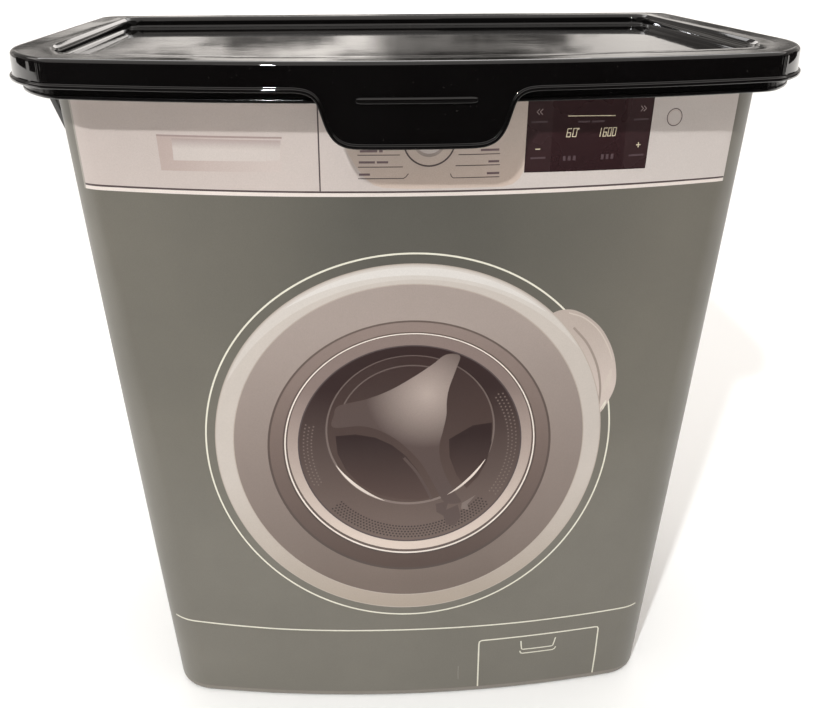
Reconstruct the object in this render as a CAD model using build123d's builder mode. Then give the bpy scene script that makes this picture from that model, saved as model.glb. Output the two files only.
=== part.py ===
from build123d import *
import math
import os

# Laundry powder box: a tapered plastic tub with a bowed front, a rim frame
# snapped over its shelf, a flap lid hinged at the rear and a carry bail.
# Frame: origin at the middle of the tub's base, +Z up, the printed front
# faces -Y, +X is the right-hand side seen from the front. Millimetres.

# ---- lid plan -------------------------------------------------------------
LID_HALF_W = 140.0        # half width of the lid's skirt
LID_FRONT = -116.5        # skirt face at the middle of the front
LID_BACK = 116.0          # skirt face at the back
FRONT_R = 385.0           # plan radius of the bowed front
SIDE_R = 78.0             # plan radius by which a side turns in to the front
SIDE_TURN_Y = -45.0       # where that turn starts
CORNER_R = 9.0            # tight front corner
BACK_R = 12.0             # back corner

# ---- heights --------------------------------------------------------------
Z_TOP = 269.1             # lid's rim
Z_SKIRT = 259.9           # lower edge of the lid's skirt
Z_COLLAR = 256.35         # lower edge of the rim frame
Z_SHELF = 257.4           # underside of the tub's shelf
SHELF_T = 2.0

# ---- tub ------------------------------------------------------------------
WALL = 1.8
BASE_T = 2.2
REF_Z = 255.9             # height at which the upper section is given
BOT = dict(hw=102.2, yf=-77.2, yb=86.0, rf=455.0, rc=17.0)
TOP = dict(hw=123.4, yf=-97.1, yb=102.5, rf=325.0, rc=17.7)
SHELF_INSET = 5.3         # shelf's edge, inside the lid's plan
FOOT_FILLET = 2.6

# ---- rim frame ------------------------------------------------------------
FRAME_INSET = 3.1         # rim frame's face, inside the lid's plan
FRAME_WALL = 1.8

# ---- lid ------------------------------------------------------------------
LID_T = 1.8
RECESS_SIDE = 14.7        # rim width at the sides
RECESS_FRONT = 19.0       # rim width at the front
RECESS_BACK = 15.0        # rim width at the back
RECESS_DEPTH = 4.6
BEAD_OUT = 1.0
BEAD_H = 1.3
TAB_X = -1.7              # middle of the front tab

# ---- lid hinge ------------------------------------------------------------
HINGE_Y = 118.5
HINGE_Z = 256.2
HINGE_X = 60.0            # middle of each knuckle
PIN_R = 2.2
KNUCKLE_R = 4.0
KNUCKLE_BORE_R = 2.27
KNUCKLE_L = 9.0
EAR_T = 2.6
EAR_GAP = 0.5

# ---- carry bail -----------------------------------------------------------
BAIL_Y = 4.0
BAIL_Z = 251.2
BAIL_DROP = 38.5          # degrees below level where it rests on the back wall
BAIL_IN = 141.4           # inner face of an arm
BAIL_T = 2.6
BAIL_W = 10.0
BAIL_R = 124.0            # inner face of the cross bar, from the pivot
BAR_T = 3.0
HUB_R = 6.5
STUB_R = 3.2
SOCKET_R = 3.25
BOSS_R = 7.0


def crossing(inset_side, inset_front):
    """Where the side's turn meets the bowed front, in plan."""
    ax, ay, ar = LID_HALF_W - SIDE_R, SIDE_TURN_Y, SIDE_R - inset_side
    bx, by, br = 0.0, LID_FRONT + FRONT_R, FRONT_R - inset_front
    dx, dy = bx - ax, by - ay
    d = math.hypot(dx, dy)
    a = (ar * ar - br * br + d * d) / (2 * d)
    h = math.sqrt(ar * ar - a * a)
    px, py = ax + a * dx / d, ay + a * dy / d
    p1 = (px + h * dy / d, py - h * dx / d)
    p2 = (px - h * dy / d, py + h * dx / d)
    return max(p1, p2, key=lambda p: p[0])


def lid_plan(z, inset, r_front, r_back, inset_front=None, inset_back=None):
    """The lid's plan, moved inwards by inset, on the level z."""
    f = inset if inset_front is None else inset_front
    b = inset if inset_back is None else inset_back
    vx, vy = crossing(inset, f)
    hw, yb = LID_HALF_W - inset, LID_BACK - b
    with BuildSketch(Plane.XY.offset(z)) as sk:
        with BuildLine():
            ThreePointArc((-vx, vy), (0, LID_FRONT + f), (vx, vy))
            TangentArc((hw, SIDE_TURN_Y), (vx, vy), tangent=(0, -1))
            Line((hw, SIDE_TURN_Y), (hw, yb))
            Line((hw, yb), (-hw, yb))
            Line((-hw, yb), (-hw, SIDE_TURN_Y))
            TangentArc((-hw, SIDE_TURN_Y), (-vx, vy), tangent=(0, -1))
        make_face()
        fillet(sk.vertices().group_by(Axis.Y)[-1], r_back)
        fillet([v for v in sk.vertices() if abs(v.Y - vy) < 0.01 and abs(abs(v.X) - vx) < 0.01], r_front)
    return sk.sketch


def tub_plan(z, inset=0.0, extra=0.0):
    """The tub's section at height z, moved inwards by inset."""
    t = z / REF_Z
    hw = BOT["hw"] + (TOP["hw"] - BOT["hw"]) * t - inset
    yf = BOT["yf"] + (TOP["yf"] - BOT["yf"]) * t + inset
    yb = BOT["yb"] + (TOP["yb"] - BOT["yb"]) * t - inset
    rf = BOT["rf"] + (TOP["rf"] - BOT["rf"]) * t - inset
    rc = BOT["rc"] + (TOP["rc"] - BOT["rc"]) * t - inset + extra
    vy = yf + rf - math.sqrt(rf * rf - hw * hw)
    with BuildSketch(Plane.XY.offset(z)) as sk:
        with BuildLine():
            ThreePointArc((-hw, vy), (0, yf), (hw, vy))
            Line((hw, vy), (hw, yb))
            Line((hw, yb), (-hw, yb))
            Line((-hw, yb), (-hw, vy))
        make_face()
        fillet(sk.vertices().group_by(Axis.Y)[-1], rc)
        fillet([v for v in sk.vertices() if abs(v.Y - vy) < 0.01 and abs(abs(v.X) - hw) < 0.01], rc)
    return sk.sketch


# ---------------------------------------------------------------- tub
Z_TUB_TOP = Z_SHELF + SHELF_T
with BuildPart() as tub:
    loft([tub_plan(0.0), tub_plan(Z_TUB_TOP)])
    fillet(tub.faces().sort_by(Axis.Z)[0].edges(), FOOT_FILLET)
    # shelf under the rim frame
    extrude(lid_plan(Z_SHELF, SHELF_INSET, 11.8, 6.6), amount=SHELF_T)
    # bosses that carry the bail's stubs, one on each side
    with BuildSketch(Plane(origin=(-139.5, BAIL_Y, BAIL_Z), x_dir=(0, 1, 0), z_dir=(1, 0, 0))):
        Circle(BOSS_R)
    extrude(amount=24.0)
    with BuildSketch(Plane(origin=(139.5, BAIL_Y, BAIL_Z), x_dir=(0, 1, 0), z_dir=(-1, 0, 0))):
        Circle(BOSS_R)
    extrude(amount=24.0)
    # flat tops on the bosses clear the rim frame's lower edge
    for side in (-1, 1):
        with BuildSketch(Plane.XY.offset(Z_COLLAR - 0.5)):
            with Locations((side * (LID_HALF_W - SHELF_INSET + 3.35), BAIL_Y)):
                Rectangle(6.5, 20.0)
        extrude(amount=6.0, mode=Mode.SUBTRACT)
    # gusset under each boss
    with BuildSketch(Plane.XZ.offset(-BAIL_Y - 1.2)):
        for side in (-1, 1):
            with BuildLine():
                Polyline((side * 120.0, 247.0), (side * 136.5, 247.0), (side * 120.9, 222.0),
                         (side * 119.4, 222.0), (side * 120.0, 247.0))
            make_face()
    extrude(amount=2.4)
    # inside of the tub
    loft([tub_plan(BASE_T, WALL), tub_plan(Z_TUB_TOP, WALL)], mode=Mode.SUBTRACT)
    # blind sockets for the stubs
    with BuildSketch(Plane(origin=(-139.5, BAIL_Y, BAIL_Z), x_dir=(0, 1, 0), z_dir=(1, 0, 0))):
        Circle(SOCKET_R)
    extrude(amount=13.0, mode=Mode.SUBTRACT)
    with BuildSketch(Plane(origin=(139.5, BAIL_Y, BAIL_Z), x_dir=(0, 1, 0), z_dir=(-1, 0, 0))):
        Circle(SOCKET_R)
    extrude(amount=13.0, mode=Mode.SUBTRACT)

# ---------------------------------------------------------------- rim frame
Z_DECK = Z_TUB_TOP            # lower deck lies on the shelf
Z_FRAME_TOP = 267.0
with BuildPart() as rim_frame:
    # outer skirt and top deck
    extrude(lid_plan(Z_COLLAR, FRAME_INSET, 14.0, 8.0), amount=Z_FRAME_TOP - Z_COLLAR)
    fillet(rim_frame.faces().sort_by(Axis.Z)[-1].edges(), 0.9)
    extrude(lid_plan(Z_COLLAR, FRAME_INSET + FRAME_WALL, 12.2, 6.5), amount=Z_FRAME_TOP - 1.8 - Z_COLLAR, mode=Mode.SUBTRACT)
    # inner wall, from the top deck down to the tub's shelf
    extrude(lid_plan(Z_DECK, 9.9, 11.0, 5.5, 9.9, 7.4), amount=Z_FRAME_TOP - 1.8 - Z_DECK)
    # lip that drops inside the tub's mouth
    extrude(tub_plan(252.0, WALL + 0.6), amount=Z_DECK + 1.8 - 252.0)
    # the open mouth, narrow below and wide above the lower deck
    extrude(tub_plan(252.0, WALL + 2.1), amount=20.0, mode=Mode.SUBTRACT)
    extrude(lid_plan(Z_DECK + 1.8, 11.7, 9.5, 4.5, 11.7, 9.2), amount=12.0, mode=Mode.SUBTRACT)
    # snap ridge that grips under the shelf's edge
    with BuildSketch(Plane.XY.offset(Z_COLLAR)):
        with Locations((0, LID_FRONT + FRAME_INSET + 2.45)):
            Rectangle(58.0, 2.3)
        with Locations((0, LID_BACK - FRAME_INSET - 2.45)):
            Rectangle(70.0, 1.9)
    extrude(amount=Z_SHELF - Z_COLLAR - 0.05)
    # hinge ears at the back with their pins
    for hx in (-HINGE_X, HINGE_X):
        for ex in (hx - KNUCKLE_L / 2 - EAR_GAP - EAR_T, hx + KNUCKLE_L / 2 + EAR_GAP):
            with BuildSketch(Plane(origin=(ex, 0, 0), x_dir=(0, 1, 0), z_dir=(1, 0, 0))) as ear:
                with BuildLine():
                    Polyline((LID_BACK - FRAME_INSET - 1.0, Z_COLLAR), (HINGE_Y, HINGE_Z - 3.3), (HINGE_Y, HINGE_Z + 3.3),
                             (LID_BACK - FRAME_INSET - 1.0, HINGE_Z + 3.3), (LID_BACK - FRAME_INSET - 1.0, Z_COLLAR))
                make_face()
                with Locations((HINGE_Y, HINGE_Z)):
                    Circle(3.3)
            extrude(amount=EAR_T)
        with BuildSketch(Plane(origin=(hx - KNUCKLE_L / 2 - EAR_GAP - 0.6, HINGE_Y, HINGE_Z), x_dir=(0, 1, 0), z_dir=(1, 0, 0))):
            Circle(PIN_R)
        extrude(amount=KNUCKLE_L + 2 * EAR_GAP + 1.2)

# ---------------------------------------------------------------- lid
# front tab: profiles seen from the front, cut by the bowed front's surface
with BuildPart() as tab_plate:
    with BuildSketch(Plane(origin=(TAB_X, -100.0, 0), x_dir=(1, 0, 0), z_dir=(0, -1, 0))) as tab_profile:
        with BuildLine():
            Polyline((-44, Z_SKIRT), (-31.4, Z_SKIRT), (-28.0, 242.9), (28.0, 242.9), (31.4, Z_SKIRT), (44, Z_SKIRT),
                     (44, Z_SKIRT + BEAD_H), (-44, Z_SKIRT + BEAD_H), (-44, Z_SKIRT))
        make_face()
        fillet([v for v in tab_profile.vertices() if v.Y < 243.5], 8.0)
        fillet([v for v in tab_profile.vertices() if abs(abs(v.X) - 31.4) < 0.1], 4.5)
    extrude(amount=30.0)
    with BuildSketch(Plane.XY.offset(240.0)):
        with Locations((0, LID_FRONT + FRONT_R)):
            Circle(FRONT_R)
            Circle(FRONT_R - 2.0, mode=Mode.SUBTRACT)
    extrude(amount=30.0, mode=Mode.INTERSECT)

with BuildPart() as tab_border:
    with BuildSketch(Plane(origin=(TAB_X, -100.0, 0), x_dir=(1, 0, 0), z_dir=(0, -1, 0))) as border_profile:
        with BuildLine():
            Polyline((-44, Z_SKIRT), (-31.4, Z_SKIRT), (-28.0, 242.9), (28.0, 242.9), (31.4, Z_SKIRT), (44, Z_SKIRT),
                     (44, Z_SKIRT + BEAD_H), (-44, Z_SKIRT + BEAD_H), (-44, Z_SKIRT))
        make_face()
        fillet([v for v in border_profile.vertices() if v.Y < 243.5], 8.0)
        fillet([v for v in border_profile.vertices() if abs(abs(v.X) - 31.4) < 0.1], 4.5)
    extrude(amount=30.0)
    with BuildSketch(Plane(origin=(TAB_X, -99.0, 0), x_dir=(1, 0, 0), z_dir=(0, -1, 0))) as border_inside:
        with BuildLine():
            Polyline((-30.0, Z_SKIRT + 3.0), (-30.0, Z_SKIRT), (-26.8, 244.2), (26.8, 244.2), (30.0, Z_SKIRT),
                     (30.0, Z_SKIRT + 3.0), (-30.0, Z_SKIRT + 3.0))
        make_face()
        fillet([v for v in border_inside.vertices() if v.Y < 244.5], 6.8)
    extrude(amount=32.0, mode=Mode.SUBTRACT)
    with BuildSketch(Plane.XY.offset(240.0)):
        with Locations((0, LID_FRONT + FRONT_R)):
            Circle(FRONT_R + BEAD_OUT)
            Circle(FRONT_R - 0.5, mode=Mode.SUBTRACT)
    extrude(amount=30.0, mode=Mode.INTERSECT)

with BuildPart() as tab_rib:
    with BuildSketch(Plane(origin=(TAB_X, -100.0, 0), x_dir=(1, 0, 0), z_dir=(0, -1, 0))):
        with Locations((0, 257.6)):
            SlotOverall(38.0, 2.1)
    extrude(amount=30.0)
    with BuildSketch(Plane.XY.offset(240.0)):
        with Locations((0, LID_FRONT + FRONT_R)):
            Circle(FRONT_R + 1.2)
            Circle(FRONT_R - 0.5, mode=Mode.SUBTRACT)
    extrude(amount=30.0, mode=Mode.INTERSECT)

with BuildPart() as lid:
    extrude(lid_plan(Z_SKIRT, 0.0, CORNER_R, BACK_R), amount=Z_TOP - Z_SKIRT)
    fillet(lid.faces().sort_by(Axis.Z)[-1].edges(), 1.6)
    # bead round the skirt's lower edge
    extrude(lid_plan(Z_SKIRT, -BEAD_OUT, CORNER_R + BEAD_OUT, BACK_R + BEAD_OUT), amount=BEAD_H)
    # hollow under the rim
    extrude(lid_plan(Z_SKIRT, LID_T, CORNER_R - LID_T, BACK_R - LID_T), amount=Z_TOP - LID_T - Z_SKIRT, mode=Mode.SUBTRACT)
    # the recessed panel
    extrude(lid_plan(Z_TOP - RECESS_DEPTH - LID_T, RECESS_SIDE - LID_T, 14.0, 9.0, RECESS_FRONT - LID_T, RECESS_BACK - LID_T), amount=RECESS_DEPTH + LID_T - 0.5)
    extrude(lid_plan(Z_TOP - RECESS_DEPTH, RECESS_SIDE, 12.2, 7.2, RECESS_FRONT, RECESS_BACK), amount=RECESS_DEPTH, mode=Mode.SUBTRACT)
    chamfer(lid.faces().sort_by(Axis.Z)[-1].inner_wires()[0].edges(), 1.1)
    # the bead stops at the tab, whose border carries it on
    with BuildSketch(Plane.XY.offset(Z_SKIRT - 1.0)):
        with Locations((TAB_X, LID_FRONT - 1.0)):
            Rectangle(60.0, 8.0)
        with Locations((0, LID_FRONT + FRONT_R)):
            Circle(FRONT_R, mode=Mode.SUBTRACT)
    extrude(amount=3.0, mode=Mode.SUBTRACT)
    # front tab with its border and rib
    add(tab_plate.part)
    add(tab_border.part)
    add(tab_rib.part)
    # hinge knuckles at the back, each open below so that it snaps on its pin
    for hx in (-HINGE_X, HINGE_X):
        with BuildSketch(Plane(origin=(hx - KNUCKLE_L / 2, 0, 0), x_dir=(0, 1, 0), z_dir=(1, 0, 0))):
            with Locations((HINGE_Y, HINGE_Z)):
                Circle(KNUCKLE_R)
            with BuildLine():
                Polyline((LID_BACK - 1.0, Z_SKIRT + 0.2), (HINGE_Y + KNUCKLE_R - 0.4, HINGE_Z + 1.0), (HINGE_Y + KNUCKLE_R - 0.6, Z_SKIRT + 1.6),
                         (LID_BACK - 1.0, Z_SKIRT + 5.2), (LID_BACK - 1.0, Z_SKIRT + 0.2))
            make_face()
            with Locations((HINGE_Y, HINGE_Z)):
                Circle(KNUCKLE_BORE_R, mode=Mode.SUBTRACT)
            with Locations((HINGE_Y, HINGE_Z - 3.0)):
                Rectangle(3.3, 4.0, mode=Mode.SUBTRACT)
        extrude(amount=KNUCKLE_L)

# ---------------------------------------------------------------- carry bail
# drawn in a plane through the pivot line: u across the box, v out to the bar
drop = math.radians(BAIL_DROP)
pivot = Vector(0, BAIL_Y, BAIL_Z)
radial = Vector(0, math.cos(drop), -math.sin(drop))
across = Vector(1, 0, 0)
bail_plane = Plane(origin=pivot, x_dir=across, z_dir=across.cross(radial))
OUT = BAIL_IN + BAIL_T
with BuildPart() as carry_handle:
    with BuildSketch(bail_plane) as strap:
        with BuildLine():
            FilletPolyline((-BAIL_IN, 0), (-BAIL_IN, BAIL_R), (BAIL_IN, BAIL_R), (BAIL_IN, 0), radius=12.0)
            Line((BAIL_IN, 0), (OUT, 0))
            FilletPolyline((OUT, 0), (OUT, BAIL_R + BAR_T), (-OUT, BAIL_R + BAR_T), (-OUT, 0), radius=14.6)
            Line((-OUT, 0), (-BAIL_IN, 0))
        make_face()
    extrude(amount=BAIL_W / 2, both=True)
    # hand grip along the middle of the bar
    with BuildSketch(bail_plane.offset(-5.5)) as grip_sketch:
        with Locations((0, BAIL_R + 3.6)):
            RectangleRounded(104.0, 7.2, 3.4)
    extrude(amount=11.0)
    # hub and stub at the end of each arm
    for side in (-1, 1):
        with BuildSketch(Plane(origin=(side * BAIL_IN, BAIL_Y, BAIL_Z), x_dir=(0, 1, 0), z_dir=(side, 0, 0))):
            Circle(HUB_R)
        extrude(amount=BAIL_T)
        with BuildSketch(Plane(origin=(side * BAIL_IN, BAIL_Y, BAIL_Z), x_dir=(0, 1, 0), z_dir=(-side, 0, 0))):
            Circle(STUB_R)
        extrude(amount=14.2)
        # short collar that keeps the arm off the boss
        with BuildSketch(Plane(origin=(side * BAIL_IN, BAIL_Y, BAIL_Z), x_dir=(0, 1, 0), z_dir=(-side, 0, 0))):
            Circle(4.8)
        extrude(amount=1.4)

tub.part.label = "tub"
rim_frame.part.label = "rim_frame"
lid.part.label = "lid"
carry_handle.part.label = "carry_handle"

os.makedirs("parts", exist_ok=True)
export_step(tub.part, "parts/tub.step")
export_step(rim_frame.part, "parts/rim_frame.step")
export_step(lid.part, "parts/lid.step")
export_step(carry_handle.part, "parts/carry_handle.step")
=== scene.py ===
import math
import random

import bmesh
import bpy
import numpy as np
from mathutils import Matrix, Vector
from mathutils.geometry import delaunay_2d_cdt


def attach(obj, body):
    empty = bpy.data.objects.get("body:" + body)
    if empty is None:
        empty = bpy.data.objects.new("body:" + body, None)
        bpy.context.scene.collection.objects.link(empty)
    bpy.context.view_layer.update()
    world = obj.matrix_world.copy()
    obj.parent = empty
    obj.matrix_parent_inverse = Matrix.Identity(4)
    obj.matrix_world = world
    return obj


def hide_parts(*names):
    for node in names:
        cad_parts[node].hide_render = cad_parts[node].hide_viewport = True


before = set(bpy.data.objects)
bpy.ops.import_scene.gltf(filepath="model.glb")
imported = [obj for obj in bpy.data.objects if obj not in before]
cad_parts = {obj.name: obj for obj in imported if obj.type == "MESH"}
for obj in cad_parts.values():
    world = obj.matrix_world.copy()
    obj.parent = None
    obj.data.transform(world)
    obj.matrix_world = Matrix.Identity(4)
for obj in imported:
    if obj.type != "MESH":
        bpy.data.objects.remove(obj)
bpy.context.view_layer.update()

MM = 0.001
rng = random.Random(7)

# ------------------------------------------------------------------ shape of the box, mm
HW, YF, YB, FR, SR, SY = 140.0, -116.5, 116.0, 385.0, 78.0, -45.0
Z_TOP, Z_SKIRT, Z_COLLAR, Z_SHELF = 269.1, 259.9, 256.35, 257.4
REF_Z = 255.9
BOT = dict(hw=102.2, yf=-77.2, yb=86.0, rf=455.0, rc=17.0)
TOP = dict(hw=123.4, yf=-97.1, yb=102.5, rf=325.0, rc=17.7)
AX = -1.7                       # the tab and the print share this middle line
HINGE_X, HINGE_Y, HINGE_Z = 60.0, 118.5, 256.2
BAIL_Y, BAIL_Z, BAIL_DROP = 4.0, 251.2, 38.5

N1, N2 = 46, 22                 # columns over the tab's half and over the rest of the front


def meet(a, ra, b, rb):
    dx, dy = b[0] - a[0], b[1] - a[1]
    d = math.hypot(dx, dy)
    t = (ra * ra - rb * rb + d * d) / (2 * d)
    h = math.sqrt(max(ra * ra - t * t, 0))
    px, py = a[0] + t * dx / d, a[1] + t * dy / d
    p1, p2 = (px + h * dy / d, py - h * dx / d), (px - h * dy / d, py + h * dx / d)
    return max(p1, p2, key=lambda p: p[0])


def arc(c, r, a):
    a = np.asarray(a)
    return np.c_[c[0] + r * np.cos(a), c[1] + r * np.sin(a)]


def half_ring(inset, rf, rb, inf=None, inb=None):
    """Right half of the lid's plan, from the middle of the front to the middle of the back."""
    f = inset if inf is None else inf
    b = inset if inb is None else inb
    A, ar = (HW - SR, SY), SR - inset
    B, br = (0.0, YF + FR), FR - f
    P = meet(A, ar - rf, B, br - rf)
    aB = math.atan2(P[1] - B[1], P[0] - B[0])
    aA = math.atan2(P[1] - A[1], P[0] - A[0])
    full = aB + math.pi / 2
    f1 = 44.0 / 128.0
    fr = np.concatenate([np.linspace(0, f1, N1), np.linspace(f1, 1, N2)[1:]])
    hw, yb = HW - inset, YB - b
    parts = [
        arc(B, br, -math.pi / 2 + full * fr),
        arc(P, rf, np.linspace(aB, aA, 18)[1:]),
        arc(A, ar, np.linspace(aA, 0, 18)[1:]),
        np.c_[np.full(16, hw), np.linspace(SY, yb - rb, 16)][1:],
        arc((hw - rb, yb - rb), rb, np.linspace(0, math.pi / 2, 13)[1:]),
        np.c_[np.linspace(hw - rb, 0, 22), np.full(22, yb)][1:],
    ]
    return np.vstack(parts)


def tub_half(z, inset=0.0, dense=1):
    t = z / REF_Z
    g = lambda k: BOT[k] + (TOP[k] - BOT[k]) * t
    hw, yf, yb, rf, rc = g("hw") - inset, g("yf") + inset, g("yb") - inset, g("rf") - inset, g("rc") - inset
    B = (0.0, yf + rf)
    px = hw - rc
    py = B[1] - math.sqrt((rf - rc) ** 2 - px * px)
    aB = math.atan2(py - B[1], px)
    return np.vstack([
        arc(B, rf, np.linspace(-math.pi / 2, aB, 44 * dense)),
        arc((px, py), rc, np.linspace(aB, 0, 16)[1:]),
        np.c_[np.full(16, hw), np.linspace(py, yb - rc, 16)][1:],
        arc((px, yb - rc), rc, np.linspace(0, math.pi / 2, 16)[1:]),
        np.c_[np.linspace(px, 0, 18), np.full(18, yb)][1:],
    ])


def full_ring(h, z):
    """Closed ring from its right half: front middle, right, back middle, left."""
    m = h[::-1].copy()
    m[:, 0] *= -1
    p = np.vstack([h, m[1:-1]])
    return np.c_[p, np.full(len(p), z)] if np.isscalar(z) else np.c_[p, z]


def even(h, n):
    """A half ring with its points spread evenly along its length."""
    s = np.r_[0, np.cumsum(np.hypot(*np.diff(h, axis=0).T))]
    t = np.linspace(0, s[-1], n)
    return np.c_[np.interp(t, s, h[:, 0]), np.interp(t, s, h[:, 1])]


def spline(pts, n=12):
    """Catmull-Rom curve through open points."""
    p = np.asarray(pts, float)
    q = np.vstack([2 * p[0] - p[1], p, 2 * p[-1] - p[-2]])
    out = []
    for i in range(1, len(q) - 2):
        t = np.linspace(0, 1, n, endpoint=False)[:, None]
        out.append(0.5 * (2 * q[i] + (q[i + 1] - q[i - 1]) * t + (2 * q[i - 1] - 5 * q[i] + 4 * q[i + 1] - q[i + 2]) * t ** 2
                          + (3 * q[i] - q[i - 1] - 3 * q[i + 1] + q[i + 2]) * t ** 3))
    return np.vstack(out + [p[-1:]])


# ------------------------------------------------------------------ meshes
class Build:
    """Collects vertices and faces, in mm, for one mesh."""

    def __init__(self):
        self.v, self.f, self.m = [], [], []

    def rings(self, rings, cap0=False, cap1=False, loop=False, mat=0, closed=True):
        base, n = len(self.v), len(rings[0])
        for r in rings:
            self.v += [tuple(p) for p in np.asarray(r)]
        k = len(rings)
        for i in range(k if loop else k - 1):
            a, b = base + i * n, base + ((i + 1) % k) * n
            for j in range(n if closed else n - 1):
                j2 = (j + 1) % n
                self.f.append((a + j, a + j2, b + j2, b + j))
                self.m.append(mat)
        if cap0:
            self.f.append(tuple(base + j for j in range(n))[::-1])
            self.m.append(mat)
        if cap1:
            self.f.append(tuple(base + (k - 1) * n + j for j in range(n)))
            self.m.append(mat)

    def obj(self, name, mats, body, sharp=38.0, bevel=0.0, recalc=True):
        me = bpy.data.meshes.new(name)
        me.from_pydata([(x * MM, y * MM, z * MM) for x, y, z in self.v], [], self.f)
        me.update()
        bm = bmesh.new()
        bm.from_mesh(me)
        bmesh.ops.remove_doubles(bm, verts=bm.verts, dist=2e-7)
        if recalc:
            bmesh.ops.recalc_face_normals(bm, faces=bm.faces)
        if bevel:
            es = [e for e in bm.edges if len(e.link_faces) == 2 and e.calc_face_angle(0) > math.radians(34)]
            bmesh.ops.bevel(bm, geom=es, offset=bevel * MM, segments=2, profile=0.5, affect="EDGES", clamp_overlap=True)
        bm.to_mesh(me)
        bm.free()
        if len(self.m) == len(me.polygons):
            me.polygons.foreach_set("material_index", self.m)
        me.polygons.foreach_set("use_smooth", [True] * len(me.polygons))
        me.set_sharp_from_angle(angle=math.radians(sharp))
        for m in mats:
            me.materials.append(m)
        o = bpy.data.objects.new(name, me)
        bpy.context.scene.collection.objects.link(o)
        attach(o, body)
        return o


def prism(b, poly, x0, x1, mat=0):
    """Solid from a (y, z) outline between two x positions."""
    b.rings([[(x, y, z) for y, z in poly] for x in (x0, x1)], cap0=True, cap1=True, mat=mat)


def lathe_x(b, profile, cy, cz, n=40, mat=0, caps=True):
    """Solid of revolution about a line along X; profile holds (x, radius)."""
    rings = []
    for x, r in profile:
        rings.append([(x, cy + r * math.cos(a), cz + r * math.sin(a)) for a in np.linspace(0, 2 * math.pi, n, endpoint=False)])
    b.rings(rings, cap0=caps, cap1=caps, mat=mat)


# ------------------------------------------------------------------ materials
def lin(c):
    return tuple((x / 255 / 12.92) if x / 255 <= 0.04045 else ((x / 255 + 0.055) / 1.055) ** 2.4 for x in c) + (1.0,)


class Mat:
    def __init__(self, name):
        self.m = bpy.data.materials.new(name)
        self.m.use_nodes = True
        self.nt = self.m.node_tree
        self.nt.nodes.clear()
        self.out = self.nt.nodes.new("ShaderNodeOutputMaterial")
        self.b = self.nt.nodes.new("ShaderNodeBsdfPrincipled")
        self.nt.links.new(self.b.outputs[0], self.out.inputs[0])
        self.tc = self.nt.nodes.new("ShaderNodeTexCoord").outputs["Object"]

    def node(self, kind, **kw):
        n = self.nt.nodes.new("ShaderNode" + kind)
        for k, v in kw.items():
            setattr(n, k, v)
        return n

    def link(self, a, b):
        self.nt.links.new(a, b)

    def noise(self, scale, detail=3.0, rough=0.55, stretch=(1, 1, 1), dist=0.0):
        mp = self.node("Mapping")
        mp.inputs["Scale"].default_value = stretch
        self.link(self.tc, mp.inputs[0])
        n = self.node("TexNoise")
        n.inputs["Scale"].default_value = scale
        n.inputs["Detail"].default_value = detail
        n.inputs["Roughness"].default_value = rough
        n.inputs["Distortion"].default_value = dist
        self.link(mp.outputs[0], n.inputs["Vector"])
        return n.outputs["Fac"]

    def ramp(self, fac, lo, hi, a, b):
        r = self.node("MapRange")
        r.clamp = True
        r.inputs["From Min"].default_value, r.inputs["From Max"].default_value = lo, hi
        r.inputs["To Min"].default_value, r.inputs["To Max"].default_value = a, b
        self.link(fac, r.inputs["Value"])
        return r.outputs[0]

    def mix(self, fac, a, b):
        x = self.node("Mix", data_type="RGBA")
        for s, v in ((x.inputs["A"], a), (x.inputs["B"], b)):
            if isinstance(v, tuple):
                s.default_value = v
            else:
                self.link(v, s)
        if isinstance(fac, (int, float)):
            x.inputs["Factor"].default_value = fac
        else:
            self.link(fac, x.inputs["Factor"])
        return x.outputs["Result"]

    def math(self, op, a, b=0.0):
        x = self.node("Math", operation=op)
        for s, v in ((x.inputs[0], a), (x.inputs[1], b)):
            if isinstance(v, (int, float)):
                s.default_value = v
            else:
                self.link(v, s)
        return x.outputs[0]

    def axis(self, i):
        s = self.node("SeparateXYZ")
        self.link(self.tc, s.inputs[0])
        return s.outputs[i]

    def bump(self, height, dist, strength=1.0, under=None):
        x = self.node("Bump")
        x.inputs["Strength"].default_value = strength
        x.inputs["Distance"].default_value = dist
        self.link(height, x.inputs["Height"])
        if under is not None:
            self.link(under, x.inputs["Normal"])
        return x.outputs[0]


def black_plastic(name, base=(9, 8, 8), rough=(0.12, 0.24), wave=0.00012, spec=0.5):
    m = Mat(name)
    dust = m.ramp(m.noise(1500, 2, 0.5), 0.73, 0.79, 0.0, 1.0)
    haze = m.ramp(m.noise(14, 4, 0.6), 0.35, 0.75, 0.0, 1.0)
    streak = m.ramp(m.noise(60, 3, 0.6, (1, 9, 9)), 0.58, 0.72, 0.0, 1.0)
    c = m.mix(haze, lin(base), lin(tuple(x + 4 for x in base)))
    c = m.mix(m.math("MULTIPLY", dust, 0.35), c, lin((96, 92, 86)))
    m.link(c, m.b.inputs["Base Color"])
    r = m.ramp(haze, 0, 1, rough[0], rough[1])
    r = m.math("ADD", r, m.math("MULTIPLY", streak, 0.06))
    r = m.math("ADD", r, m.math("MULTIPLY", dust, 0.2))
    m.link(r, m.b.inputs["Roughness"])
    n1 = m.bump(m.noise(9, 2, 0.5), wave, 0.6)
    n1 = m.bump(m.noise(46, 2, 0.5), wave * 0.11, 0.6, n1)
    n1 = m.bump(m.noise(150, 3, 0.6), wave * 0.025, 0.6, n1)
    n2 = m.bump(m.noise(420, 3, 0.6), 0.000008, 0.5, n1)
    m.link(n2, m.b.inputs["Normal"])
    m.b.inputs["IOR"].default_value = 1.5
    m.b.inputs["Specular IOR Level"].default_value = spec
    return m.m


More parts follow.
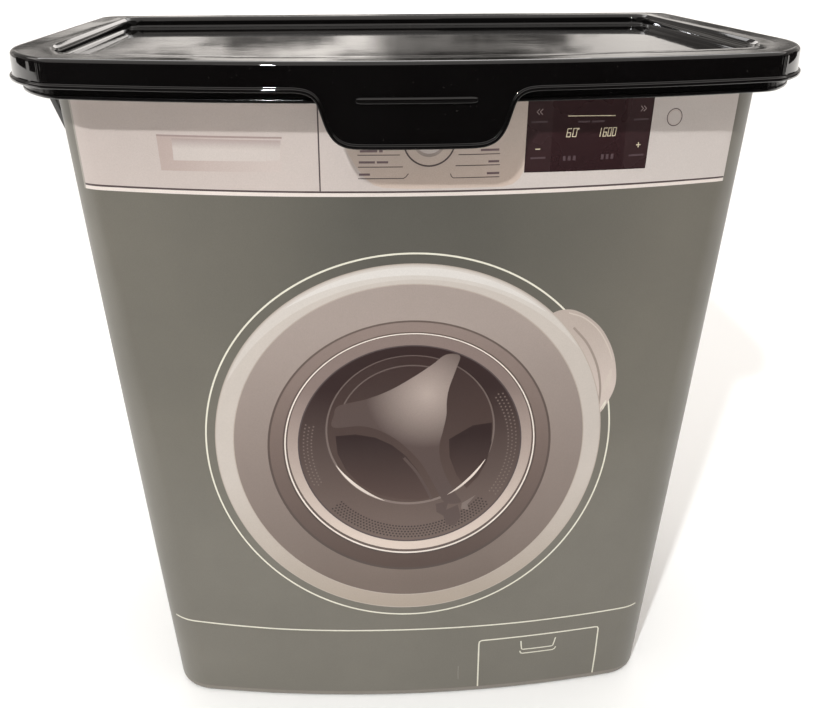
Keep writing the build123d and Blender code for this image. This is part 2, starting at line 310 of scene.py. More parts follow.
def print_ink(name, a, b=None, grad=None, rough=0.34, cloudy=0.07):
    """Printed colour on the satin label. grad is (axis, from mm, to mm) for a blend from a to b."""
    m = Mat(name)
    c = lin(a)
    if b is not None and grad is not None:
        if grad[0] == "xz":
            t = m.math("SUBTRACT", m.axis(0), m.axis(2))
            f = m.ramp(t, grad[1] * MM, grad[2] * MM, 0, 1)
        elif grad[0] == "r":
            dx = m.math("SUBTRACT", m.axis(0), grad[3] * MM)
            dz = m.math("SUBTRACT", m.axis(2), grad[4] * MM)
            r2 = m.math("SQRT", m.math("ADD", m.math("MULTIPLY", dx, dx), m.math("MULTIPLY", dz, dz)))
            f = m.ramp(r2, grad[1] * MM, grad[2] * MM, 0, 1)
        else:
            f = m.ramp(m.axis(grad[0]), grad[1] * MM, grad[2] * MM, 0, 1)
        c = m.mix(f, c, lin(b))
    grain = m.ramp(m.noise(2600, 2, 0.7), 0.3, 0.7, 0.0, 1.0)
    cloud = m.ramp(m.noise(16, 4, 0.62), 0.3, 0.7, 0.0, 1.0)
    dark = m.mix(m.math("MULTIPLY", grain, 0.10), c, (0.0, 0.0, 0.0, 1.0))
    # the cloud darkens the colour at random as mottling; where its amount is raised, as for the grey, it is also
    # painted reflection of the satin label
    c2 = m.mix(m.math("MULTIPLY", cloud, cloudy), dark, (0.01, 0.012, 0.01, 1.0))
    m.link(c2, m.b.inputs["Base Color"])
    r = m.ramp(cloud, 0, 1, rough - 0.05, rough + 0.07)
    m.link(r, m.b.inputs["Roughness"])
    n1 = m.bump(m.noise(9, 2, 0.5), 0.0004, 0.45)
    n2 = m.bump(m.noise(1100, 2, 0.6), 0.000010, 0.5, n1)
    m.link(n2, m.b.inputs["Normal"])
    return m.m


def tub_plastic(name, base):
    m = Mat(name)
    cloud = m.ramp(m.noise(22, 4, 0.6), 0.3, 0.7, 0.0, 1.0)
    fine = m.ramp(m.noise(700, 3, 0.65), 0.3, 0.7, 0.0, 1.0)
    c = m.mix(cloud, lin(base), lin(tuple(x - 5 for x in base)))
    c = m.mix(m.math("MULTIPLY", fine, 0.12), c, lin(tuple(x - 26 for x in base)))
    m.link(c, m.b.inputs["Base Color"])
    m.link(m.ramp(cloud, 0, 1, 0.40, 0.52), m.b.inputs["Roughness"])
    n1 = m.bump(m.noise(10, 2, 0.5), 0.0003, 0.4)
    n2 = m.bump(m.noise(900, 3, 0.6), 0.000016, 0.6, n1)
    m.link(n2, m.b.inputs["Normal"])
    return m.m


LID_BLACK = black_plastic("lid_black_gloss", (7, 6, 6), (0.02, 0.06), 0.0003)
FRAME_BLACK = black_plastic("frame_black_gloss", (8, 7, 7), (0.14, 0.26))
BAIL_BLACK = black_plastic("handle_black_satin", (13, 12, 12), (0.28, 0.42))
TUB_GREY = tub_plastic("tub_grey_plastic", (124, 118, 110))

# ------------------------------------------------------------------ lid
TAB = [(0, 242.75), (8, 242.76), (14, 242.8), (19.6, 242.95), (23.0, 243.65), (25.9, 245.4), (28.1, 248.6), (29.5, 252.3),
       (30.7, 255.9), (32.2, 258.2), (34.6, 259.45), (38, 259.88), (41, 259.9), (44, 259.9)]
_c = spline(TAB, 16)
_s = np.r_[0, np.cumsum(np.hypot(*np.diff(_c, axis=0).T))]
_t = np.linspace(0, _s[-1], N1)
TAB_R, TAB_Z = np.interp(_t, _s, _c[:, 0]), np.interp(_t, _s, _c[:, 1])
_d = np.gradient(np.c_[TAB_R, TAB_Z], axis=0)
_d /= np.hypot(_d[:, 0], _d[:, 1])[:, None]
TAB_N = np.c_[-_d[:, 1], _d[:, 0]]


def on_front(s, z, out):
    a = -math.pi / 2 + s / FR
    return ((FR + out) * math.cos(a), YF + FR + (FR + out) * math.sin(a), z)


def lip_ring(t, out, lift=None):
    """Ring along the lid's lower edge and round its tab: t inwards from the edge, out from the skirt's face.
    lift, from 0 to 1, slides it up to the plain level 262.6."""
    h = half_ring(-out, 9 + out, 12 + out)
    z0 = Z_SKIRT + t
    z = z0 if lift is None else z0 + (262.6 - z0) * lift
    right = [(x, y, z) for x, y in h]
    left = [(-x, y, z) for x, y in h]
    for k in range(N1):
        w = 1.0 if TAB_R[k] < 36 else max(0.0, (44 - TAB_R[k]) / 8)
        dr, dz = TAB_R[k] + TAB_N[k][0] * t, TAB_Z[k] + TAB_N[k][1] * t
        if lift is not None:
            flat = 44.0 * k / (N1 - 1)
            wl = w * (1 - lift)
            dr, dz = dr + (flat - dr) * lift, dz + (262.6 - dz) * lift
        else:
            wl = w
        right[k] = on_front(AX * wl + dr, dz, out)
        left[k] = on_front(AX * wl - dr, dz, out)
    return np.array(right + left[::-1][1:-1])


def shrink(ring, k):
    c = ring.mean(0)
    r = ring.copy()
    r[:, :2] = c[:2] + (ring[:, :2] - c[:2]) * k
    return r


def basin(k, z):
    return full_ring(half_ring(14.7 + k, 12.2 - k, 7.2 - k, 19 + k, 15 + k), z)


lid = Build()
floor_z = Z_TOP - 4.6
f0 = basin(2.4, floor_z)
rings = [shrink(f0, k) for k in (0.03, 0.2, 0.4, 0.6, 0.8, 0.93)] + [f0]
for a in np.linspace(0, 90, 6)[1:]:
    a = math.radians(a)
    rings.append(basin(0.35 + 1.4 * (1 - math.sin(a)), floor_z + 1.4 * (1 - math.cos(a))))
rings += [basin(0.1, Z_TOP - 1.3), basin(0.0, Z_TOP - 1.12), basin(-0.10, Z_TOP - 1.0), basin(-1.0, Z_TOP - 0.1), basin(-1.15, Z_TOP - 0.02),
          basin(-1.4, Z_TOP)]
rings.append(full_ring(half_ring(8.0, 10.5, 9.0, 9.5, 8.2), Z_TOP))
rings.append(full_ring(half_ring(2.4, 7.6, 10.2), Z_TOP))
for a in np.linspace(90, 0, 8):
    a = math.radians(a)
    d = 1.6 * (1 - math.cos(a))
    rings.append(full_ring(half_ring(d, 9 - d, 12 - d), Z_TOP - 1.6 * (1 - math.sin(a))))
rings.append(full_ring(half_ring(0, 9, 12), 264.6))
for lift in (1.0, 0.72, 0.45, 0.2):
    rings.append(lip_ring(1.9, 0.0, lift))
for t, o in ((1.75, 0.0), (1.55, 0.05), (1.40, 0.22), (1.32, 0.55), (1.22, 0.82), (1.02, 0.97), (0.75, 1.0), (0.4, 0.99), (0.16, 0.88),
             (0.04, 0.66), (0.0, 0.3), (0.0, -1.45), (0.08, -1.7), (0.3, -1.8), (1.9, -1.8)):
    rings.append(lip_ring(t, o))
rings.append(lip_ring(1.9, -1.8, 0.5))
rings.append(full_ring(half_ring(1.8, 7.2, 10.2), 262.9))
rings.append(full_ring(half_ring(1.8, 7.2, 10.2), 266.6))
rings.append(full_ring(half_ring(2.05, 7.0, 10.0), 267.1))
rings.append(full_ring(half_ring(2.6, 6.8, 9.6), 267.3))
rings.append(basin(-2.2, 267.3))
rings.append(basin(-1.9, 266.9))
rings.append(basin(-1.8, 263.2))
rings.append(basin(-1.4, 262.7))
u0 = basin(-1.4, 262.7)
rings += [shrink(u0, k) for k in (0.9, 0.7, 0.45, 0.2, 0.03)]
lid.rings(rings, cap0=True, cap1=True)


def bulge_bar(b, x0, x1, z, w, proud, surf, n=30, m=9):
    """Low rounded bar along x on a surface."""
    rings = []
    for x in np.concatenate([x0 + (x1 - x0) * (0.5 - 0.5 * np.cos(np.linspace(0, math.pi, n)))]):
        e = min(x - x0, x1 - x)
        k = math.sqrt(max(0.0, 1 - max(0.0, 1 - e / 2.2) ** 2)) if e < 2.2 else 1.0
        k = max(k, 0.02)
        pts = []
        for a in np.linspace(0, math.pi, m):
            pts.append(surf(x, z - math.cos(a) * w / 2 * (0.35 + 0.65 * k), proud * math.sin(a) ** 0.8 * k))
        pts.append(surf(x, z + w / 2 * (0.35 + 0.65 * k), -0.6))
        pts.append(surf(x, z - w / 2 * (0.35 + 0.65 * k), -0.6))
        rings.append(pts)
    b.rings(rings, cap0=True, cap1=True)


bulge_bar(lid, AX - 19.1, AX + 19.1, 257.55, 2.3, 1.1, on_front)
lid_obj = lid.obj("lid_shell", [LID_BLACK], "lid", sharp=40)
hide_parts("lid")

# the hinge knuckles belong to the lid
kn = Build()
for hx in (-HINGE_X, HINGE_X):
    poly = []
    for a in np.linspace(-58, 90, 16):
        poly.append((HINGE_Y + 4.0 * math.cos(math.radians(a)), HINGE_Z + 4.0 * math.sin(math.radians(a))))
    poly += [(116.6, 262.6), (115.2, 262.9), (115.0, 260.1), (HINGE_Y - 3.4, HINGE_Z + 2.1)]
    for a in np.linspace(150, 238, 10):
        poly.append((HINGE_Y + 4.0 * math.cos(math.radians(a)), HINGE_Z + 4.0 * math.sin(math.radians(a))))
    poly.append((HINGE_Y - 1.65, HINGE_Z - 1.58))
    for a in np.linspace(223, -43, 30):
        poly.append((HINGE_Y + 2.28 * math.cos(math.radians(a)), HINGE_Z + 2.28 * math.sin(math.radians(a))))
    poly.append((HINGE_Y + 1.65, HINGE_Z - 1.58))
    prism(kn, poly, hx - 4.5, hx + 4.5)
kn_obj = kn.obj("lid_knuckles", [LID_BLACK], "lid", sharp=35, bevel=0.0)

# ribs under the lid, seen when it's open
lr = Build()
for y in (-58.0, 0.0, 58.0):
    pass
for i, x in enumerate((-72.0, -24.0, 24.0, 72.0)):
    lr.rings([[(x - 0.7, -82.0, z), (x + 0.7, -82.0, z), (x + 0.7, 88.0, z), (x - 0.7, 88.0, z)] for z in (262.72, 261.6)], cap0=True, cap1=True)
for y in (-40.0, 4.0, 48.0):
    lr.rings([[(-112.0, y - 0.7, z), (112.0, y - 0.7, z), (112.0, y + 0.7, z), (-112.0, y + 0.7, z)] for z in (262.71, 261.7)], cap0=True, cap1=True)
lr_obj = lr.obj("lid_stiffeners", [LID_BLACK], "lid", sharp=30, bevel=0.18)

# ------------------------------------------------------------------ rim frame
M = 250
LR = lambda ins, rf, rb, z, f=None, b=None: full_ring(even(half_ring(ins, rf, rb, f, b), M), z)
TR = lambda z, ins: full_ring(even(tub_half(z, ins), M), z)
fr = Build()
prof = [LR(3.3, 13.8, 7.8, 256.35), LR(3.12, 14.0, 8.0, 256.45), LR(3.0, 14.1, 8.1, 256.65), LR(2.95, 14.1, 8.1, 257.3), LR(3.05, 14.0, 8.0, 257.5),
        LR(3.3, 13.8, 7.8, 257.62), LR(3.35, 13.8, 7.8, 258.0), LR(3.3, 13.8, 7.8, 265.6)]
for a in np.linspace(0, 90, 5):
    a = math.radians(a)
    prof.append(LR(3.3 + 1.0 * (1 - math.cos(a)), 13, 7.2, 266.0 + 1.0 * math.sin(a)))
prof += [LR(11.2, 10, 5, 267.0, b=8.7), LR(11.6, 9.6, 4.6, 266.8, b=9.1), LR(11.7, 9.5, 4.5, 266.3, b=9.2), LR(11.7, 9.5, 4.5, 261.6, b=9.2), LR(12.0, 9.3, 4.3, 261.2, b=9.5)]
prof += [TR(261.2, 3.4), TR(260.9, 3.95), TR(259.0, 3.9), TR(252.6, 3.9), TR(252.3, 3.4), TR(252.2, 2.9), TR(253.6, 2.45), TR(259.3, 2.4)]
prof += [TR(259.45, 2.0), LR(9.9, 11, 5.5, 259.45, b=7.4), LR(9.9, 11, 5.5, 265.2, b=7.4), LR(5.1, 12.2, 6.5, 265.2), LR(4.9, 12.2, 6.5, 264.8), LR(4.9, 12.2, 6.5, 256.5),
         LR(4.75, 12.2, 6.5, 256.35)]
fr.rings(prof, loop=True)
for hx in (-HINGE_X, HINGE_X):
    for ex in (hx - 4.5 - 0.5 - 2.6, hx + 5.0):
        poly = [(111.4, 256.6), (HINGE_Y - 0.6, HINGE_Z - 3.25)]
        for a in np.linspace(-85, 90, 14):
            poly.append((HINGE_Y + 3.3 * math.cos(math.radians(a)), HINGE_Z + 3.3 * math.sin(math.radians(a))))
        poly += [(111.4, HINGE_Z + 3.3)]
        prism(fr, poly, ex, ex + 2.6)
fr_obj = fr.obj("rim_frame_skin", [FRAME_BLACK], "body", sharp=38)
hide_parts("rim_frame")
pin = Build()
for hx in (-HINGE_X, HINGE_X):
    lathe_x(pin, [(hx - 5.2, 2.05), (hx - 5.05, 2.2), (hx + 5.05, 2.2), (hx + 5.2, 2.05)], HINGE_Y, HINGE_Z, 32)
pin_obj = pin.obj("hinge_pins", [FRAME_BLACK], "body", sharp=30)

# ------------------------------------------------------------------ tub
tub = Build()
TH = lambda z, ins=0.0: full_ring(tub_half(z, ins), z)
prof = []
base = TH(0.0, 2.6)
prof += [np.c_[shrink(TH(0.0, 11.0), k)[:, :2], np.full(len(base), 0.7)] for k in (0.03, 0.3, 0.6, 0.85, 1.0)]
prof += [np.c_[TH(0.0, 10.2)[:, :2], np.full(len(base), 0.62)], np.c_[TH(0.0, 9.6)[:, :2], np.full(len(base), 0.25)], TH(0.0, 9.2), TH(0.0, 4.0)]
for a in np.linspace(90, 0, 8):
    a = math.radians(a)
    z = 2.6 * (1 - math.sin(a))
    prof.append(full_ring(tub_half(z, 2.6 * (1 - math.cos(a))), z))
prof += [TH(z) for z in (8, 20, 45, 80, 120, 160, 200, 235, 250, 257.4, 259.2)]
prof += [full_ring(tub_half(259.4, i), 259.4) for i in (0.2, 1.6)]
prof += [TH(z, 1.8) for z in (259.2, 250, 235, 200, 160, 120, 80, 45, 20, 7.2)]
for a in np.linspace(0, 90, 6)[1:]:
    a = math.radians(a)
    prof.append(full_ring(tub_half(4.7 - 2.5 * math.sin(a), 1.8 + 2.5 * (1 - math.cos(a))), 4.7 - 2.5 * math.sin(a)))
inner = prof[-1]
prof += [shrink(inner, k) for k in (0.9, 0.6, 0.3, 0.03)]
tub.rings(prof, cap0=True, cap1=True)
# shelf that carries the rim frame
sh = [LR(5.6, 11.6, 6.4, 257.4), LR(5.3, 11.8, 6.6, 257.65), LR(5.3, 11.8, 6.6, 259.15), LR(5.6, 11.6, 6.4, 259.4), TR(259.4, 0.6), TR(257.4, 0.6)]
tub.rings(sh, loop=True)
for side in (-1, 1):
    lathe_x(tub, [(side * 122.0, 7.0), (side * 139.1, 7.0), (side * 139.4, 6.85), (side * 139.5, 6.5), (side * 139.5, 3.6), (side * 139.3, 3.25), (side * 127.0, 3.25)],
            BAIL_Y, BAIL_Z, 44)
    for y in (BAIL_Y,):
        tub.rings([[(side * 121.8, y - 1.2 + d, 247.0), (side * 136.0, y - 1.2 + d, 247.0), (side * 121.2, y - 1.2 + d, 222.0), (side * 119.6, y - 1.2 + d, 222.0)]
                   for d in (0.0, 2.4)], cap0=True, cap1=True)
tub_obj = tub.obj("tub_shell", [TUB_GREY], "body", sharp=36)
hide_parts("tub")

# ------------------------------------------------------------------ carry handle
ca, sa = math.cos(math.radians(BAIL_DROP)), math.sin(math.radians(BAIL_DROP))


def bail(u, v, w):
    """u across the box, v from the pivot line out to the bar, w through the strap's width."""
    return (u, BAIL_Y + v * ca + w * sa, BAIL_Z - v * sa + w * ca)


hb = Build()
mid, far, rad = 142.7, 125.5, 13.3
path = [(-mid, v, (-1, 0)) for v in (0.0, 3.0, 8.0, 20.0, 45.0, 75.0, 100.0)]
for a in np.linspace(0, 90, 12):
    a = math.radians(a)
    path.append((-mid + rad - rad * math.cos(a), far - rad + rad * math.sin(a), (-math.cos(a), math.sin(a))))
path += [(x, far, (0, 1)) for x in np.linspace(-110, 110, 23)]
for a in np.linspace(90, 0, 12):
    a = math.radians(a)
    path.append((mid - rad + rad * math.cos(a), far - rad + rad * math.sin(a), (math.cos(a), math.sin(a))))
path += [(mid, v, (1, 0)) for v in (100.0, 75.0, 45.0, 20.0, 8.0, 3.0, 0.0)]


def strap_section(half_t, half_w, r=0.55, n=4):
    pts = []
    for cx, cw, a0 in ((half_t - r, half_w - r, 0), (-half_t + r, half_w - r, 90), (-half_t + r, -half_w + r, 180), (half_t - r, -half_w + r, 270)):
        for a in np.linspace(a0, a0 + 90, n):
            pts.append((cx + r * math.cos(math.radians(a)), cw + r * math.sin(math.radians(a))))
    return pts


sec = strap_section(1.3, 5.0)
hb.rings([[bail(u + n[0] * t, v + n[1] * t, w) for t, w in sec] for u, v, n in path], cap0=True, cap1=True)
# a rounded grip with finger ridges
grip = []
for x in np.linspace(-52, 52, 105):
    e = min(52 - abs(x), 3.4)
    k = math.sqrt(max(0.0, 1 - (1 - e / 3.4) ** 2)) if e < 3.4 else 1.0
    ridge = 0.0 if abs(x) > 46 else -0.32 * (0.5 + 0.5 * math.cos(x * 2 * math.pi / 5.2)) ** 3
    ht, hw_ = max(0.4, 3.6 * (0.45 + 0.55 * k)) + ridge, max(0.4, 5.5 * (0.6 + 0.4 * k)) + ridge
    grip.append([bail(x, 127.6 + t, w) for t, w in strap_section(ht, hw_, min(2.6, ht * 0.72), 6)])
hb.rings(grip, cap0=True, cap1=True)
for side in (-1, 1):
    lathe_x(hb, [(side * 127.3, 2.9), (side * 127.6, 3.2), (side * 139.99, 3.2), (side * 140.0, 4.6), (side * 140.2, 4.8), (side * 141.3, 4.8), (side * 141.4, 6.3),
                 (side * 141.6, 6.5), (side * 143.7, 6.5), (side * 144.0, 6.2), (side * 144.0, 3.0), (side * 143.6, 2.6), (side * 143.6, 0.2)], BAIL_Y, BAIL_Z, 44)
hb_obj = hb.obj("carry_handle_skin", [BAIL_BLACK], "handle", sharp=36)
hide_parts("carry_handle")

# ------------------------------------------------------------------ printed label
INKS = {}
ORDER = []


def ink(name, *a, **k):
    INKS[name] = print_ink("ink_" + name, *a, **k)
    ORDER.append(name)


# label ground, darker towards a point just under the panel; its stronger cloud darkening is partly painted reflection
# of the satin label
ink("grey", (89, 86, 79), (108, 104, 95), ("r", 20, 95, 2, 214), cloudy=0.14)
ink("panel", (185, 173, 167), (192, 183, 178), (0, -60, 60))
ink("stripe", (214, 203, 196))
ink("soft", (150, 132, 128))
ink("line", (78, 66, 66))
ink("shade", (173, 156, 149), (187, 174, 168), (0, -85, -48))
ink("inset", (160, 144, 140), (190, 180, 174), (2, 242.4, 238.8))
# painted shadow of the lid's tab on the panel, also used for the knob's printed rim ring
ink("knobshade", (190, 172, 160), (186, 171, 161), (2, 228, 242))
ink("knobface", (164, 151, 144), (130, 118, 112), (2, 240, 234))
ink("display", (43, 22, 25), (52, 28, 31), (2, 230, 254), rough=0.26)
ink("display_side", (50, 31, 33), (58, 37, 39), (2, 230, 254), rough=0.26)
ink("glyph", (204, 192, 164))
ink("glyph2", (150, 132, 130))
ink("dim", (112, 92, 96))
ink("bar", (80, 62, 66))
ink("thin", (216, 212, 196))
ink("whitering", (186, 177, 169), (160, 147, 134), (2, 110, 50))
ink("ringsoft", (194, 187, 180))
ink("ringlight", (204, 199, 194))
ink("whiteedge", (172, 160, 150))
ink("taupe", (154, 141, 134), (107, 93, 85), (2, 175, 62))
ink("taupe_dark", (96, 82, 76), (74, 61, 56), (2, 165, 75))
ink("band", (134, 118, 111), (75, 58, 51), (2, 175, 70))
ink("chrome", (127, 111, 105), (204, 188, 177), (2, 150, 82))
ink("chrome_line", (222, 212, 202))
ink("gap", (94, 80, 74))
ink("window", (52, 36, 35), (106, 90, 83), (2, 150, 84))
ink("drum", (58, 42, 40), (84, 67, 61), (2, 165, 100))
ink("drum_rim", (94, 80, 76), (124, 110, 104), (2, 165, 95))
ink("star", (168, 153, 145), (84, 69, 65), ("r", 0, 23, 4.5, 148))
ink("star_hi", (160, 148, 141), (118, 105, 99), ("r", 0, 14, 4, 146))
ink("cavity", (47, 31, 30), (78, 60, 55), (2, 130, 103))
ink("crescent", (226, 214, 204), (200, 188, 178), (2, 120, 102))
ink("holes", (52, 40, 39))
ink("holes_lit", (112, 98, 92))
ink("handle", (172, 159, 150), (192, 178, 170), (2, 172, 146))
ink("handle_hi", (192, 180, 170))
ink("handle_lo", (146, 133, 124))
ink("edge", (150, 144, 136))
IDX = {n: i for i, n in enumerate(ORDER)}

shapes = []          # (ink, polygon) in the order they are printed


def add(name, poly):
    shapes.append((IDX[name], [tuple(map(float, p)) for p in poly]))


def circle(cx, cz, r, n=96, a0=0.0):
    return [(cx + r * math.cos(a0 + 2 * math.pi * i / n), cz + r * math.sin(a0 + 2 * math.pi * i / n)) for i in range(n)]


def rect(x0, z0, x1, z1):
    return [(x0, z0), (x1, z0), (x1, z1), (x0, z1)]


def smooth(poly, n=5):
    """Closed rounded outline through the points."""
    p = np.asarray(poly, float)
    q = np.vstack([p[-1:], p, p[:2]])
    out = []
    for i in range(1, len(q) - 2):
        t = np.linspace(0, 1, n, endpoint=False)[:, None]
        out.append(0.5 * (2 * q[i] + (q[i + 1] - q[i - 1]) * t + (2 * q[i - 1] - 5 * q[i] + 4 * q[i + 1] - q[i + 2]) * t ** 2
                          + (3 * q[i] - q[i - 1] - 3 * q[i + 1] + q[i + 2]) * t ** 3))
    return [tuple(r) for r in np.vstack(out)]


def line(pts, w, closed=False):
    """Outline of a stroke of width w along points."""
    p = np.asarray(pts, float)
    d = np.gradient(p, axis=0)
    d /= np.hypot(d[:, 0], d[:, 1])[:, None]
    n = np.c_[-d[:, 1], d[:, 0]] * w / 2
    return [tuple(q) for q in np.vstack([p + n, (p - n)[::-1]])]


def corners(s0, s1, z, w):
    return rect(s0, z - w / 2, s1, z + w / 2)


def slant(poly, z0):
    return [(x + (z - z0) * 0.13, z) for x, z in poly]


def segs(ch, x, z, w, h, t):
    on = {"0": "abcdef", "1": "bc", "6": "afgedc"}[ch]
    if ch == "1":
        return [slant(rect(x + w - t, z, x + w, z + h), z)]
    out = []
    if "a" in on:
        out.append(rect(x, z + h - t, x + w, z + h))
    if "d" in on:
        out.append(rect(x, z, x + w, z + t))
    if "g" in on:
        out.append(rect(x, z + h / 2 - t / 2, x + w, z + h / 2 + t / 2))
    if "f" in on:
        out.append(rect(x, z + h / 2, x + t, z + h))
    if "e" in on:
        out.append(rect(x, z, x + t, z + h / 2))
    if "b" in on:
        out.append(rect(x + w - t, z + h / 2, x + w, z + h))
    if "c" in on:
        out.append(rect(x + w - t, z, x + w, z + h / 2))
    return [slant(r, z) for r in out]


def s_edge(z):
    """Length along the section from the middle of the front to the end of the corner."""
    t = z / REF_Z
    g = lambda k: BOT[k] + (TOP[k] - BOT[k]) * t
    hw, yf, rf, rc = g("hw"), g("yf"), g("rf"), g("rc")
    By = yf + rf
    px = hw - rc
    py = By - math.sqrt((rf - rc) ** 2 - px * px)
    aB = math.atan2(py - By, px)
    return rf * (aB + math.pi / 2), rc * (-aB), (By, px, py, aB, rf, rc, hw)


# upper panel with its stripe and dark line
LZ0, LZ1 = 3.4, 256.7
add("panel", [(-120.0, 257.0), (-118.1, 224.9), (-60, 224.9), (0, 224.9), (60, 224.8), (114.1, 224.6), (116.4, 257.0)])
add("stripe", [(-118.2, 225.0), (-118.3, 223.25), (-60, 223.25), (0, 223.3), (60, 223.2), (113.9, 223.05), (114.1, 225.0)])
add("line", [(-118.1, 225.2), (-118.15, 224.5), (-60, 224.55), (0, 224.55), (60, 224.45), (114.0, 224.2), (114.05, 224.85), (60, 225.1), (0, 225.2), (-60, 225.2)])
add("edge", [(-119.9, 256.9), (-118.15, 223.2), (-118.9, 223.2), (-120.9, 256.9)])
# drawer grip
add("shade", [(-88.3, 243.2), (-45.0, 243.0), (-45.6, 231.6), (-87.6, 231.2)])
add("inset", [(-82.9, 242.2), (-49.9, 242.2), (-50.6, 235.2), (-82.8, 234.8)])
add("inset", [(-49.9, 242.2), (-45.4, 242.2), (-46.0, 235.6), (-50.4, 235.4)])
add("soft", rect(-88.3, 242.75, -45.0, 243.35))
add("line", rect(-33.05, 225.0, -32.55, 257.0))
# knob and programme lines
# this patch is painted shadow of the lid's tab, a little warmer than the panel; the same ink prints the knob's rim ring
# further down
add("knobshade", [(-24.5, 257), (-24.5, 242), (-23.7, 239.1), (-20.9, 234.1), (-17.6, 229.6), (-14.5, 227.2), (-11.5, 226.3), (-2.5, 225.9), (29.0, 225.9),
                  (32.6, 226.7), (35.0, 228.6), (36.3, 231.2), (37.0, 236), (37.3, 243), (37.3, 257)])
add("line", circle(3.9, 242.2, 8.9, 72))
add("knobshade", circle(3.9, 242.2, 8.35, 72))
add("knobface", circle(3.9, 242.2, 5.6, 64))
add("panel", circle(3.9, 242.6, 4.9, 64))
for x0, x1, z in ((-20.0, -5.9, 237.4), (-19.9, -4.9, 233.4), (-19.9, -4.6, 229.5), (13.7, 27.8, 237.2), (12.8, 27.9, 233.5), (12.0, 27.9, 229.4)):
    add("line", corners(x0, x1, z, 0.28))
add("line", line([(-4.7, 229.5), (-3.9, 230.0), (-3.0, 231.1)], 0.28))
add("line", line([(11.1, 230.9), (11.5, 229.9), (12.1, 229.4)], 0.28))
for x0, x1, z in ((-19.2, -13.4, 238.7), (-12.8, -11.6, 238.7), (-19.6, -14.2, 235.0), (-13.6, -9.8, 235.0), (-19.6, -15.9, 230.9), (21.2, 27.5, 238.6), (23.9, 27.6, 234.7),
                  (23.5, 27.8, 230.7)):
    add("dim", corners(x0, x1, z, 0.75))
# display
add("display", [(36.6, 257.0), (36.4, 230.5), (80.8, 229.9), (82.0, 257.0)])
add("display_side", [(36.9, 257), (36.7, 230.9), (45.5, 230.8), (45.4, 257)])
add("display_side", [(72.0, 257), (72.0, 230.6), (80.5, 230.4), (81.6, 257)])
add("glyph", line([(50.6, 248.95), (59, 248.75), (67.7, 248.45)], 0.3))
for ch, x in (("6", 50.4), ("0", 52.5)):
    for r in segs(ch, x, 241.9, 1.55, 3.0, 0.28):
        add("glyph", r)
add("glyph", circle(54.7, 244.6, 0.34, 12))
for ch, x in (("1", 62.0), ("6", 63.5), ("0", 65.2), ("0", 66.9)):
    for r in segs(ch, x, 241.6, 1.35 if ch != "1" else 0.7, 3.0, 0.27):
        add("glyph", r)
for x, d in ((40.2, -1), (41.3, -1), (77.4, 1), (78.5, 1)):
    c = 250.6 if d < 0 else 250.4
    add("glyph2", line([(x - d * 0.45, c + 0.9), (x + d * 0.45, c), (x - d * 0.45, c - 0.9)], 0.26))
add("glyph", corners(39.9, 41.6, 238.3, 0.32))
add("glyph", corners(76.4, 78.1, 238.2, 0.32))
add("glyph", rect(77.09, 237.35, 77.41, 239.05))
for x0, x1, z in ((38.0, 43.6, 247.3), (74.6, 80.2, 246.8), (54.4, 58.6, 246.9), (59.2, 63.8, 246.8), (38.4, 43.6, 235.3), (74.0, 79.6, 234.7)):
    add("bar", corners(x0, x1, z, 0.62))
for x in (49.8, 51.6, 53.4, 63.6, 65.4, 67.2):
    add("bar", rect(x, 234.0 if x < 60 else 233.9, x + 1.0, 235.6))
# on and off button
add("line", circle(90.3, 246.9, 3.05, 48))
add("shade", circle(90.3, 246.9, 2.75, 48))
add("panel", circle(90.3, 246.8, 2.3, 48))

# door
DX, DZ = AX, 124.0
add("thin", circle(DX, DZ + 0.2, 79.2, 180))
add("grey", circle(DX, DZ + 0.2, 78.55, 180))
hand = spline([(50.5, 178.5), (53.2, 179.3), (57.5, 179.2), (62.2, 177.2), (66.6, 174.0), (70.6, 169.8), (74.2, 163.8), (76.6, 157.6), (77.9, 150.7), (77.8, 146.0),
               (76.4, 141.6), (73.6, 136.4), (70.5, 133.0)], 6)
add("handle", [tuple(p) for p in hand] + [(60, 140), (52, 165)])
add("handle_lo", [tuple(p) for p in line(spline([(58.8, 172.0), (64.8, 165.0), (69.4, 156.0), (71.6, 147.0), (71.8, 139.0)], 6), 0.9)])
add("handle_hi", [tuple(p) for p in spline([(72.6, 143.0), (74.6, 145.6), (75.9, 149.6), (75.6, 153.6), (74.4, 151.2), (73.0, 147.2), (72.6, 143.0)], 5)][:-1])
add("handle_hi", line(spline([(56.5, 178.0), (61.8, 176.0), (66.2, 172.8), (70.0, 168.6), (73.4, 162.8), (75.6, 157.4)], 6), 0.45))
add("thin", line(spline([(73.6, 136.6), (74.6, 140.2), (72.4, 136.4), (70.9, 134.9)], 6), 0.4))
add("whiteedge", circle(DX, DZ + 0.1, 75.3, 180))
add("whitering", circle(DX, DZ + 0.1, 74.9, 180))
add("whiteedge", circle(DX, DZ - 0.4, 68.3, 160))
add("taupe", circle(DX, DZ - 0.4, 67.9, 160))
add("taupe_dark", circle(DX, DZ - 1.0, 54.9, 144))
add("band", circle(DX, DZ - 0.8, 54.0, 144))
add("taupe_dark", circle(DX, DZ + 0.4, 49.0, 128))
add("chrome_line", circle(DX, DZ + 0.6, 48.3, 128))
add("gap", circle(DX, DZ + 0.75, 47.75, 128))
add("chrome", circle(DX, DZ + 1.25, 47.1, 128))
add("line", circle(DX, DZ + 1.1, 43.1, 120))
add("window", circle(DX, DZ + 1.2, 42.5, 120))
